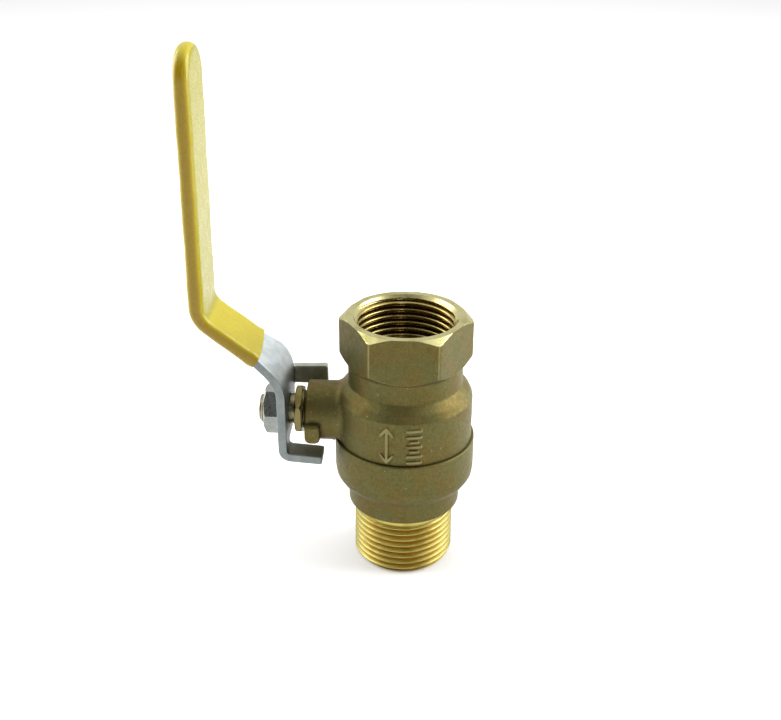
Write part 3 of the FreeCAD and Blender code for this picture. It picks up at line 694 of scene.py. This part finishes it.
def stitch_boss(points, faces, angles, heights):
    """Open the forging's grid round the boss and join the two with narrow triangles."""
    patch = boss_patch()
    rows, count = patch.shape[:2]
    columns = len(angles)
    foot = patch[0]
    foot_angle = np.arctan2(foot[:, 1], foot[:, 0]) % TURN
    ring = np.stack([BARREL * (foot_angle - math.pi), foot[:, 2]], 1)
    middle = ring.mean(0)
    outer = middle + (ring - middle) * (1 + 0.3 / np.linalg.norm(ring - middle, axis=1))[:, None]
    flat = np.stack(np.broadcast_arrays(BARREL * (angles[None, :] - math.pi), heights[:, None]), -1)

    covered = within(flat, [outer]).ravel()
    kept, removed = [], []
    for face in faces:
        (removed if any(covered[corner] for corner in face) else kept).append(face)
    uses = Counter(edge for face in removed for edge in face_edges(face))
    border = [sorted(edge) for edge, number in uses.items() if number == 1]
    names = sorted({corner for edge in border for corner in edge})
    place = {corner: index for index, corner in enumerate(names)}
    first, known = len(points), len(names)
    spots = np.concatenate([flat.reshape(-1, 2)[names], ring])
    names += range(first, first + count)
    edges = [(place[start], place[end]) for start, end in border] + ring_edges(known, count)
    spots, triangles, centres = triangulate(spots, edges)
    column = np.searchsorted(BARREL * (angles - math.pi), centres[:, 0]) - 1
    row = np.searchsorted(heights, centres[:, 1]) - 1
    open_cells = {divmod(min(face), columns) for face in removed}
    wanted = [not hidden and (line, position) in open_cells
              for line, position, hidden in zip(row, column, within(centres, [ring]))]
    kept += [tuple(names[corner] for corner in face)
             for face in pick_triangles(spots, triangles, wanted, edges)]
    kept += grid_faces(rows, count, first)
    return np.concatenate([points, patch.reshape(-1, 3)]), kept


def rounded_block(name, x_span, outline, rounding):
    """Block with a rounded outline seen along X and softened end edges."""
    middle, half = sum(x_span) / 2, (x_span[1] - x_span[0]) / 2

    def place(spots):
        return np.stack([spots[:, 2] + middle, spots[:, 0], spots[:, 1]], 1)

    return plate(name, closed_loop(outline, 0.6), [], half, rounding, place)


def loop_normals(loop):
    """Outward offsets for one millimetre, at each point of a closed anticlockwise loop."""
    ahead = np.roll(loop, -1, 0) - loop
    ahead = ahead / np.linalg.norm(ahead, axis=1)[:, None]
    first = np.stack([ahead[:, 1], -ahead[:, 0]], 1)
    second = np.roll(first, 1, 0)
    return (first + second) / (1 + (first * second).sum(1))[:, None]


def plate(name, outline, holes, half, rounding, place, grid=(1.2, 1.6), steps=3):
    """Flat plate with softened edges, then bent or moved into place.

    The outline runs anticlockwise and holes clockwise. place maps points (u, v, w) with w
    across the thickness.
    """
    points, faces, caps, rims = [], [], [], []
    for loop in [outline] + holes:
        outwards = loop_normals(loop)
        rings = []
        for part in np.linspace(0, math.pi / 2, steps + 1):
            inset, level = rounding * (1 - math.sin(part)), half - rounding * (1 - math.cos(part))
            rings.append((loop - outwards * inset, level))
        rings += [(ring, -level) for ring, level in reversed(rings)]
        first, count = sum(map(len, points)), len(loop)
        points += [np.column_stack([ring, np.full(count, level)]) for ring, level in rings]
        faces += grid_faces(len(rings), count, first)
        caps.append(rings[0][0])
        rim = np.arange(first, first + count)
        rims.append((rim, rim + (len(rings) - 1) * count))

    border = np.concatenate(caps)
    steps_over = [np.arange(low + step / 2, high, step)
                  for low, high, step in zip(border.min(0), border.max(0), grid)]
    inner = np.stack(np.meshgrid(*steps_over), -1).reshape(-1, 2)
    clear = np.linalg.norm(inner[:, None] - border[None], axis=2).min(1) > 0.35
    inner = inner[within(inner, caps) & clear]
    edges = []
    for loop in caps:
        edges += ring_edges(len(edges), len(loop))
    spots, triangles, centres = triangulate(np.concatenate([border, inner]), edges)
    triangles = np.array(pick_triangles(spots, triangles, within(centres, caps), edges))
    for level, rim in zip((half, -half), zip(*rims)):
        names = np.concatenate([*rim, sum(map(len, points)) + np.arange(len(inner))])
        points.append(np.column_stack([inner, np.full(len(inner), level)]))
        faces += names[triangles].tolist()
    return new_object(name, place(np.concatenate(points)), faces)


def body_shell():
    """Outside of the forging with its boss, and the threaded and bored inside."""
    corners = [(corner, 4, 0.25) for corner in (0, 60, 120, 240, 300)]
    angles = round_angles((180, 44, 0.6), (270, 30, 0.3), *corners)
    heights = np.unique(np.round(np.concatenate([
        np.arange(BLANK_BOTTOM, 36.0, 0.5), np.arange(36.23, 48.0, 0.12),
        np.arange(47.95, 53.2, 0.18), np.arange(53.2, 57.0, 0.5), np.arange(57.0, 60.2, 0.14),
        np.arange(60.5, 67.2, 0.7), np.arange(67.4, BODY_TOP - 0.05, 0.1), [BODY_TOP]]), 4))
    wall = body_wall(angles[None, :], heights[:, None])
    points, faces = lathe_grids([(wall, heights[:, None], 0)], about_flow, angles)
    points, faces = stitch_boss(points, faces, angles, heights)

    face_rows = [wall[-1] + (LEAD_RADIUS + 0.12 - wall[-1]) * part for part in (0, 0.5, 1)]
    thread = helix(THREAD_END, BODY_TOP, PITCH, female_wall, angles)
    bored = soften([(FEMALE_CREST, THREAD_END), (PORT_RADIUS, THREAD_END, 0.4),
                    (PORT_RADIUS, 53.2), (SEAT_POCKET, 53.2), (SEAT_POCKET, 48.5),
                    (CHAMBER, 48.5), (CHAMBER, BLANK_BOTTOM)])
    more, more_faces = lathe_grids([
        flat_rows(BODY_TOP, *face_rows, LEAD_RADIUS), thread, rows_of(bored),
        flat_rows(BLANK_BOTTOM, CHAMBER, wall[0])], about_flow, angles)
    faces += [tuple(corner + len(points) for corner in face) for face in more_faces]
    return new_object("valve_body_forging", np.concatenate([points, more]), faces)


def cut_body(body):
    """Cut the skirt of the joint, the chamfer over it and the bore of the stem."""
    even = round_angles(step=1.5)
    skirt = [(16.0, 26.0), (18.7, 26.0), (18.7, 37.55), (17.25, JOINT_HEIGHT),
             (16.0, JOINT_HEIGHT), (16.0, 26.0)]
    skirt_end = [(14.0, 26.0), (16.5, 26.0), (16.5, 30.0), (14.0, 30.0), (14.0, 26.0)]
    bore = [(0, 10.0), (5.2, 10.0), (5.2, 17.0), (4.1, 17.0), (4.1, 20.0), (5.4, 20.0),
            (5.4, BOSS_END - 0.5), (5.9, BOSS_END), (6.4, 26.0), (0, 26.0)]
    for name, path, place in (("skirt_tool", skirt, about_flow),
                              ("skirt_end_tool", skirt_end, about_flow),
                              ("stem_bore_tool", bore, about_stem)):
        combine(body, lathe(name, [rows_of(path)], place, even), "DIFFERENCE")


def add_lugs(body):
    """Stop lugs under the near side and beside the far side of the boss's end."""
    near = [(-23.4, AXIS), (-LUG_END, AXIS, 0.7), (-LUG_END, 37.3, 1.5), (-LUG_ROOT, 37.3, 1.5),
            (-LUG_ROOT, AXIS, 0.7)]
    far = [(5.0, 39.6), (10.8, 39.6, 1.4), (10.8, 44.9, 1.4), (5.0, 44.9)]

    def place(spots):
        return np.stack([spots[:, 0], spots[:, 2] - 7.4, spots[:, 1]], 1)

    combine(body, plate("lug_near", closed_loop(near, 0.6), [], 2.4, 0.55, place), "UNION")
    combine(body, rounded_block("lug_far", (-LUG_END, -LUG_ROOT), far, 0.35), "UNION")


def body_zones(centres, normals):
    """0 on the raw skin, 1 on turned faces, 2 in the bores, 3 on the raised marks, the hexagon's
    corners and its lower edge, in lighter brass for wear and as a painted highlight.
    """
    radius, height = np.hypot(centres[:, 0], centres[:, 1]), centres[:, 2]
    top = (height > BODY_TOP - 2.2) & (
        (radius > crown_of_hexagon(height) - 0.04) | (normals[:, 2] > 0.5))
    stem_radius = np.hypot(centres[:, 1], height - AXIS)
    bores = radius < SEAT_POCKET + 0.15
    bores |= (radius < SKIRT_RADIUS) & (height < JOINT_HEIGHT + 0.2)
    bores |= (stem_radius < 6.0) & (centres[:, 0] < -14.0)
    lead = (height > BODY_TOP - LEAD_IN - 0.05) & (radius < LEAD_RADIUS + 0.2)
    turns = np.arctan2(centres[:, 1], centres[:, 0])
    # Raised marks, hexagon corners and the upward-facing lower hex edge take lighter brass: wear
    # and painted highlight.
    worn_and_highlit = (raised_marks(turns, height) > 0.8 * MARK_HEIGHT) & (radius > BARREL)
    beside = HEX_CORNER * np.abs((turns + TURN / 12) % (TURN / 6) - TURN / 12)
    worn_and_highlit |= (beside < 0.2) & (radius > 16.3) & (height > 59.3) & ~top
    on_cone = np.abs(cone_under_hexagon(height) - radius) < 0.12
    worn_and_highlit |= on_cone & (radius > 14.95) & (normals[:, 2] > -0.5)
    return np.where(worn_and_highlit, 3, np.where(bores & ~lead, 2, np.where(top | lead, 1, 0)))


def make_body():
    body = body_shell()
    cut_body(body)
    add_lugs(body)
    finish_piece(body, "valve_body", "housing", [SKIN, BRASS, BORE, WORN_AND_HIGHLIT_SKIN], body_zones)


# ---------------------------------------------------------------- end connector and ball

BALL_RADIUS = 14.0


def male_wall(height, phase):
    """Radius of the male thread, cut by its point chamfer and run out below the cap."""
    depth = THREAD_DEPTH * (1 - ramp(height, 14.2, 15.4))
    radius = MALE_CREST - depth * thread_shape(phase)
    return least(radius, 12.4 + height * 0.95, 0.05)


def make_connector():
    angles = round_angles(step=0.75)
    top = 16.6
    thread = helix(0.0, top, PITCH, male_wall, angles)
    end_face = flat_rows(0.0, PORT_RADIUS, male_wall(0.0, -angles / TURN))
    section = soften([(MALE_CREST, top), (13.24, 16.9, 0.1), (14.8, 17.1, 0.3),
                      (14.8, 22.6, 0.8), (16.9, 24.0, 1.2), (18.08, 25.9, 1.0),
                      (18.3, 27.4, 0.4), (18.3, JOINT_HEIGHT, 0.35),
                      (SKIRT_RADIUS, JOINT_HEIGHT), (SKIRT_RADIUS, 29.0), (14.4, 29.0),
                      (14.4, 35.3), (SEAT_POCKET, 35.3), (SEAT_POCKET, 31.4),
                      (PORT_RADIUS, 31.4), (PORT_RADIUS, 0.4), (PORT_RADIUS, 0.0)], step=0.8)
    radius, height, _ = rows_of(section)
    outside = (height > 17.5) & (radius > 16.3)
    radius = radius + forging_waves(angles[None, :] + 1.0, height) * outside * 0.8
    connector = lathe("end_connector_turned", [end_face, thread, (radius, height, 0)],
                      about_flow, angles)

    def machined(centres, normals):
        """0 on the raw skin of the cap, 1 on the thread and inside."""
        radius = np.hypot(centres[:, 0], centres[:, 1])
        cap = (centres[:, 2] > 17.0) & (radius > 14.5)
        cap &= (radius > SKIRT_RADIUS + 0.01) | (centres[:, 2] < 25.0)
        return np.where(cap, 0, 1)

    finish_piece(connector, "end_connector", "housing", [SKIN, THREAD], machined)


def make_ball():
    angles = round_angles(step=2.5)
    edge = math.sqrt(BALL_RADIUS ** 2 - PORT_RADIUS ** 2)
    start = math.asin(PORT_RADIUS / BALL_RADIUS) + 0.025
    sweep = np.linspace(start, math.pi - start, 72)
    sphere = np.stack([BALL_RADIUS * np.sin(sweep), AXIS + BALL_RADIUS * np.cos(sweep)], 1)
    port = [(PORT_RADIUS, AXIS - edge + 0.35), (PORT_RADIUS, AXIS + edge - 0.35)]
    path = np.concatenate([sphere, port, sphere[:1]])
    ball = lathe("ball_plated", [rows_of(path)], about_flow, angles)
    slot = [(-15.0, AXIS - 2.5), (15.0, AXIS - 2.5), (15.0, AXIS + 2.5), (-15.0, AXIS + 2.5)]
    combine(ball, rounded_block("slot_tool", (-16.0, -10.4), slot, 0.1), "DIFFERENCE")
    finish_piece(ball, "ball", "ball", [CHROME])


# ---------------------------------------------------------------- stem, gland nut and lever nut

STEM_END = 37.9
STEM_THREAD = 31.4
STEM_PITCH = 1.25
STEM_RADIUS = 4.0
TANG_HALF = 2.35
FLAT_HALF = 3.1


def make_stem():
    angles = round_angles(*[(edge, 2, 0.5) for edge in (50.8, 129.2, 230.8, 309.2)], step=3.0)

    def wall(station, phase):
        depth = 0.62 * ramp(station, STEM_THREAD + 0.5, STEM_THREAD + 1.5)
        chamfer = 3.3 + (STEM_END - station) * 0.95
        return least(STEM_RADIUS - depth * thread_shape(phase), chamfer, 0.05)

    inner = soften([(0.0, 10.6), (4.3, 10.6, 0.4), (4.3, 14.4), (5.0, 14.4, 0.2),
                    (5.0, 16.2, 0.2), (STEM_RADIUS, 16.2), (STEM_RADIUS, 18.0), (3.0, 18.0),
                    (3.0, 19.3), (STEM_RADIUS, 19.3), (STEM_RADIUS, 29.9), (STEM_RADIUS, 30.1),
                    (STEM_RADIUS, STEM_THREAD)])
    thread = helix(STEM_THREAD, STEM_END, STEM_PITCH, wall, angles, samples=12)
    last = wall(STEM_END, (STEM_END - STEM_THREAD) / STEM_PITCH - angles / TURN)
    points, faces = lathe_grids([rows_of(inner), thread, flat_rows(STEM_END, last, 0)],
                                about_stem, angles)
    station, offset = -points[:, 0], points[:, 2] - AXIS
    half = np.where(station < 14.35, TANG_HALF, np.where(station > 30.0, FLAT_HALF, np.inf))
    points[:, 2] = AXIS + np.clip(offset, -half, half)
    stem = new_object("stem_turned", points, faces)
    finish_piece(stem, "stem", "handle", [STEM_BRASS])


def hexagon_grids(corner, apothem, span, crowns, bore):
    """Lathe grids of a hexagon about the stem. crowns are (radius, slope) inner and outer."""
    degrees = [math.degrees(corner) + 60 * index for index in range(6)]
    angles = round_angles(*[(degree % 360, 4, 0.5) for degree in degrees], step=2.5)
    start, end = span
    stations = np.unique(np.round(np.concatenate([
        np.arange(start, start + 0.8, 0.07), np.linspace(start, end, 7),
        np.arange(end, end - 0.8, -0.07)]), 4))[:, None]
    (inner_crown, inner_slope), (outer_crown, outer_slope) = crowns
    wall = hexagon_radius(angles[None, :], apothem, corner, 0.14)
    wall = least(wall, inner_crown + (stations - start) * inner_slope, 0.06)
    wall = least(wall, outer_crown + (end - stations) * outer_slope, 0.06)
    mouth = bore + 0.4
    hole = [(mouth, end), (bore, end - 0.4), (bore, start + 0.4), (mouth, start)]
    return [flat_rows(start, mouth, wall[0]), (wall, stations, 0),
            flat_rows(end, wall[-1], mouth), rows_of(hole)], angles


def make_gland_nut():
    start, end, bore = 26.7, 28.4, 4.12
    grids, angles = hexagon_grids(math.pi / 2, 6.0, (start, end), ((6.5, 1.2), (6.0, 1.7)), bore)

    def wall(station, phase):
        depth = 0.45 * ramp(station, 22.5, 23.2) * (1 - ramp(station, 26.2, 26.6))
        return 5.3 - depth * thread_shape(phase) - 0.3 * ramp(station, 26.25, 26.5)

    outside = grids[1]
    thread = helix(22.45, start, 1.0, wall, angles, samples=10)
    hole = [(4.5, end), (bore, 28.0), (bore, 22.45), (5.3, 22.45)]
    gland = lathe("gland_nut_brass", [
        thread, flat_rows(start, 5.0, outside[0][0]), outside,
        flat_rows(end, outside[0][-1], 4.5), rows_of(hole)], about_stem, angles)
    finish_piece(gland, "gland_nut", "housing", [GLAND_BRASS])


def make_lever_nut():
    grids, angles = hexagon_grids(math.radians(-8), 5.8, (32.3, 36.5),
                                  ((5.75, 2.0), (5.7, 1.6)), 4.02)
    nut = lathe("lever_nut_hex", grids, about_stem, angles)
    finish_piece(nut, "lever_nut", "handle", [NUT_ZINC])


# ---------------------------------------------------------------- lever and sleeve

STRIP = 1.1
FOOT_END = 21.05
PLATE_STATION = 31.2
LOW_BEND = 54.3
HIGH_BEND = (51.4, 70.1)
TIP_HEIGHT = 134.6
LEVER_PATH = soften([(FOOT_END, 31.9), (PLATE_STATION, 32.7, 2.1), (PLATE_STATION, LOW_BEND, 9.5),
                     (*HIGH_BEND, 7.0), (50.36, TIP_HEIGHT), (50.30, 139.3)], step=0.25)
LEVER_LENGTH = np.concatenate([[0], np.cumsum(np.linalg.norm(np.diff(LEVER_PATH, axis=0),
                                                             axis=1))])
PLATE_HALF = 9.2
GRIP_HALF = 7.2
TAB_FOLD = 8.4
TAB_RADIUS = 1.7
SLEEVE_START = 37.9
SLEEVE_WALL = 0.85


def along_path(height):
    """Length along the strip at a height, beyond the bend at its foot."""
    upright = LEVER_PATH[:, 0] > 30.5
    return float(np.interp(height, LEVER_PATH[upright, 1], LEVER_LENGTH[upright]))


def strip_spots(length):
    """Station and height of the middle of the strip at lengths along it."""
    return np.stack([np.interp(length, LEVER_LENGTH, LEVER_PATH[:, axis]) for axis in (0, 1)], 1)


def on_lever(points):
    """Bend flat-pattern points (length, across, thickness) along the lever."""
    length, across, level = points.T
    reach = 0.2
    heading = strip_spots(length + reach) - strip_spots(length - reach)
    heading = heading / np.linalg.norm(heading, axis=1)[:, None]
    outwards = np.stack([heading[:, 1], -heading[:, 0]], 1)
    spots = strip_spots(length) + outwards * level[:, None]
    return np.stack([-spots[:, 0], across, spots[:, 1]], 1)


def fold_tab(points, low, high):
    """Fold the stop tab back, at the edge of the plate between two lengths."""
    length, across, level = points.T.copy()
    share = ramp(length, low - 0.9, low) * (1 - ramp(length, high, high + 0.9))
    share = np.where(across > 9.3, 1.0, share)
    bent = np.clip((across - TAB_FOLD) / TAB_RADIUS, 0, math.pi / 2)
    beyond = np.maximum(across - TAB_FOLD - TAB_RADIUS * math.pi / 2, 0)
    folded_across = TAB_FOLD + (TAB_RADIUS + level) * np.sin(bent)
    folded_level = -TAB_RADIUS + (TAB_RADIUS + level) * np.cos(bent) - beyond
    inside = across > TAB_FOLD
    across = np.where(inside, across + (folded_across - across) * share, across)
    level = np.where(inside, level + (folded_level - level) * share, level)
    return np.stack([length, across, level], 1)


def make_lever():
    tab_low, tab_high = along_path(AXIS + 2.8), along_path(AXIS + 7.8)
    tab_end = TAB_FOLD + TAB_RADIUS * math.pi / 2 + 29.5 - FOOT_END
    wide, narrow, tip = along_path(56.0), along_path(60.5), along_path(TIP_HEIGHT)
    neck = along_path(35.3)
    outline = closed_loop([
        (5.0, -PLATE_HALF), (wide, -PLATE_HALF, 6.0), (narrow, -GRIP_HALF, 6.0),
        (tip, -GRIP_HALF, 6.9), (tip, GRIP_HALF, 6.9), (narrow, GRIP_HALF, 6.0),
        (wide, PLATE_HALF, 6.0), (tab_high, PLATE_HALF, 0.8), (tab_high, tab_end, 0.6),
        (tab_low, tab_end, 0.6), (tab_low, PLATE_HALF, 0.8), (along_path(40.8), PLATE_HALF, 2.0),
        (neck, 3.0, 1.5), (neck, -3.0, 0.6), (0.0, -3.0, 0.7), (0.0, -PLATE_HALF, 0.7)], 0.45)
    hole_radius = STEM_RADIUS + 0.05
    tilt = math.asin(FLAT_HALF / hole_radius)
    arcs = np.concatenate([np.linspace(turn - tilt, turn + tilt, 17) for turn in (0, math.pi)])
    hole = hole_radius * np.stack([np.sin(arcs), np.cos(arcs)], 1) + (along_path(AXIS), 0)

    def place(points):
        return on_lever(fold_tab(points, tab_low, tab_high))

    lever = plate("lever_strip", outline, [hole], STRIP, 0.26, place, grid=(0.8, 1.3))

    def sheared(centres, normals):
        """1 on the cut edges of the strip, 2 on the stop tab and inside the foot, which take a
        darker zinc as painted shade.
        """
        tab = (centres[:, 1] > 8.9) & (centres[:, 0] > -30.0)
        foot = (centres[:, 2] < 34.5) & (centres[:, 0] > -29.6)
        side = np.abs(normals[:, 1]) > 0.6
        # Painted shade: the stop tab and the inside of the foot take the darker zinc.
        dull = tab | (foot & ~side & (normals[:, 2] > -0.5))
        return np.where(dull, 2, np.where(side, 1, 0))

    finish_piece(lever, "lever", "handle", [ZINC, EDGE_ZINC, SHADED_ZINC], sheared)
    return lever


def make_sleeve(lever):
    """Dipped skin round the grip, with a slightly thicker lip at its slanting mouth."""
    share = (SLEEVE_START - PLATE_STATION) / (HIGH_BEND[0] - PLATE_STATION)
    mouth = along_path(LOW_BEND + share * (HIGH_BEND[1] - LOW_BEND))
    tip = along_path(TIP_HEIGHT) + SLEEVE_WALL
    wide = GRIP_HALF + SLEEVE_WALL
    outline = closed_loop([(mouth + 12, -wide), (tip, -wide, 7.6), (tip, wide, 7.6),
                           (mouth - 5, wide, 1.8), (mouth - 5, -wide, 1.8)], 0.5)

    def place(points):
        length, spot, level = points.T.copy()
        lip = 1 + 0.10 * np.exp(-((length - mouth - 0.9) / 1.0) ** 2)
        sag = 0.05 * np.sin(length * 0.31 + 0.8) + 0.03 * np.sin(length * 0.83 + spot * 0.2)
        level = level * lip * (1 + sag * 0.4)
        return on_lever(np.stack([length, spot * (1 + 0.05 * sag), level], 1))

    sleeve = plate("grip_dipped", outline, [], STRIP + SLEEVE_WALL, 1.7, place,
                   grid=(0.9, 1.3), steps=9)
    beyond = wide + 1.45
    trim = closed_loop([(mouth - 7, -beyond), (mouth - 0.9, -beyond), (mouth - 0.3, 0, 30),
                        (mouth + 1.1, beyond), (mouth - 7, beyond)], 1.0)
    combine(sleeve, plate("mouth_tool", trim, [], 3.0, 0.2, on_lever), "DIFFERENCE")
    combine(sleeve, add_object("lever_core", lever.data.copy()), "DIFFERENCE")
    finish_piece(sleeve, "grip_sleeve", "handle", [VINYL], angle=50)


make_body()
make_connector()
make_ball()
make_stem()
make_gland_nut()
make_lever_nut()
make_sleeve(make_lever())

for node in ("body_joint_seal", "seat_upper", "seat_lower", "stem_thrust_washer", "stem_o_ring",
             "stem_packing_inner", "stem_packing_outer"):
    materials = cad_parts[node].data.materials
    materials.clear()
    materials.append(NITRILE if node == "stem_o_ring" else PTFE)


# ---------------------------------------------------------------- floor, light and camera

def make_floor():
    mesh = bpy.data.meshes.new("floor")
    mesh.from_pydata([(-6, -6, 0), (6, -6, 0), (6, 6, 0), (-6, 6, 0)], [], [(0, 1, 2, 3)])
    floor = add_object("floor", mesh)
    floor.location.z = -0.00002
    finish = Finish("pale_floor", (0.9, 0.9, 0.9), roughness=0.9)
    finish.shader.inputs["Specular IOR Level"].default_value = 0.0
    mesh.materials.append(finish.material)


def direction(azimuth, elevation):
    """Unit vector from the valve. Azimuth 0 is the front and grows towards +X."""
    turn, rise = math.radians(azimuth), math.radians(elevation)
    return Vector((math.sin(turn) * math.cos(rise), -math.cos(turn) * math.cos(rise),
                   math.sin(rise)))


def area_light(name, azimuth, elevation, distance, width, height, power):
    """Soft rectangle of light that faces the middle of the valve."""
    away = direction(azimuth, elevation)
    lamp = bpy.data.lights.new(name, "AREA")
    lamp.shape = "RECTANGLE"
    lamp.size = width
    lamp.size_y = height
    lamp.energy = power
    item = add_object(name, lamp)
    item.location = Vector((0, 0, 0.05)) + away * distance
    item.rotation_euler = away.to_track_quat("Z", "Y").to_euler()


def make_world():
    """Pale room, brighter overhead, and darker in front above a pale horizon."""
    world = bpy.data.worlds.new("studio")
    bpy.context.scene.world = world
    world.use_nodes = True
    sky = Nodes(world.node_tree)
    x, y, z = (sky.part_of("Generated", axis) for axis in range(3))
    rise = sky.remap(z, 0.2, 0.95, 1.0, 1.6)
    overhead = sky.remap(y, -0.62, 0.1, 0.05, 1.0)
    horizon = sky.remap(z, 0.08, 0.14, 0.85, 0.0)
    column = sky.remap(sky.math("ABSOLUTE", x), 0.12, 0.42, 0.85, 1.0)
    lit = sky.math("MULTIPLY", rise, sky.math("MAXIMUM", overhead, horizon))
    background = sky.tree.nodes["Background"]
    sky.put(background.inputs["Color"], (1.0, 1.0, 1.0))
    sky.put(background.inputs["Strength"], sky.math("MULTIPLY", lit, column))


def make_camera():
    lens = bpy.data.cameras.new("camera")
    lens.sensor_width = 36.0
    lens.lens = 47.9385
    camera = add_object("camera", lens)
    back = direction(2.7, 26.79)
    right = Vector((0, 0, 1)).cross(back).normalized()
    roll = math.radians(0.43)
    up = back.cross(right)
    across = right * math.cos(roll) + up * math.sin(roll)
    upright = up * math.cos(roll) - right * math.sin(roll)
    target = right * -0.00387 + Vector((0, 0, 0.05741))
    camera.matrix_world = (Matrix.Translation(target + back * 0.26564)
                           @ Matrix((across, upright, back)).transposed().to_4x4())
    bpy.context.scene.camera = camera
    bpy.context.scene.view_settings.view_transform = "Standard"


make_floor()
make_world()
area_light("left_box", -102, 25, 0.8, 0.6, 0.8, 7)
area_light("right_box", 102, 25, 0.8, 0.6, 0.8, 9)
area_light("front_strip", 16, 28, 0.9, 0.12, 0.4, 0.8)
make_camera()
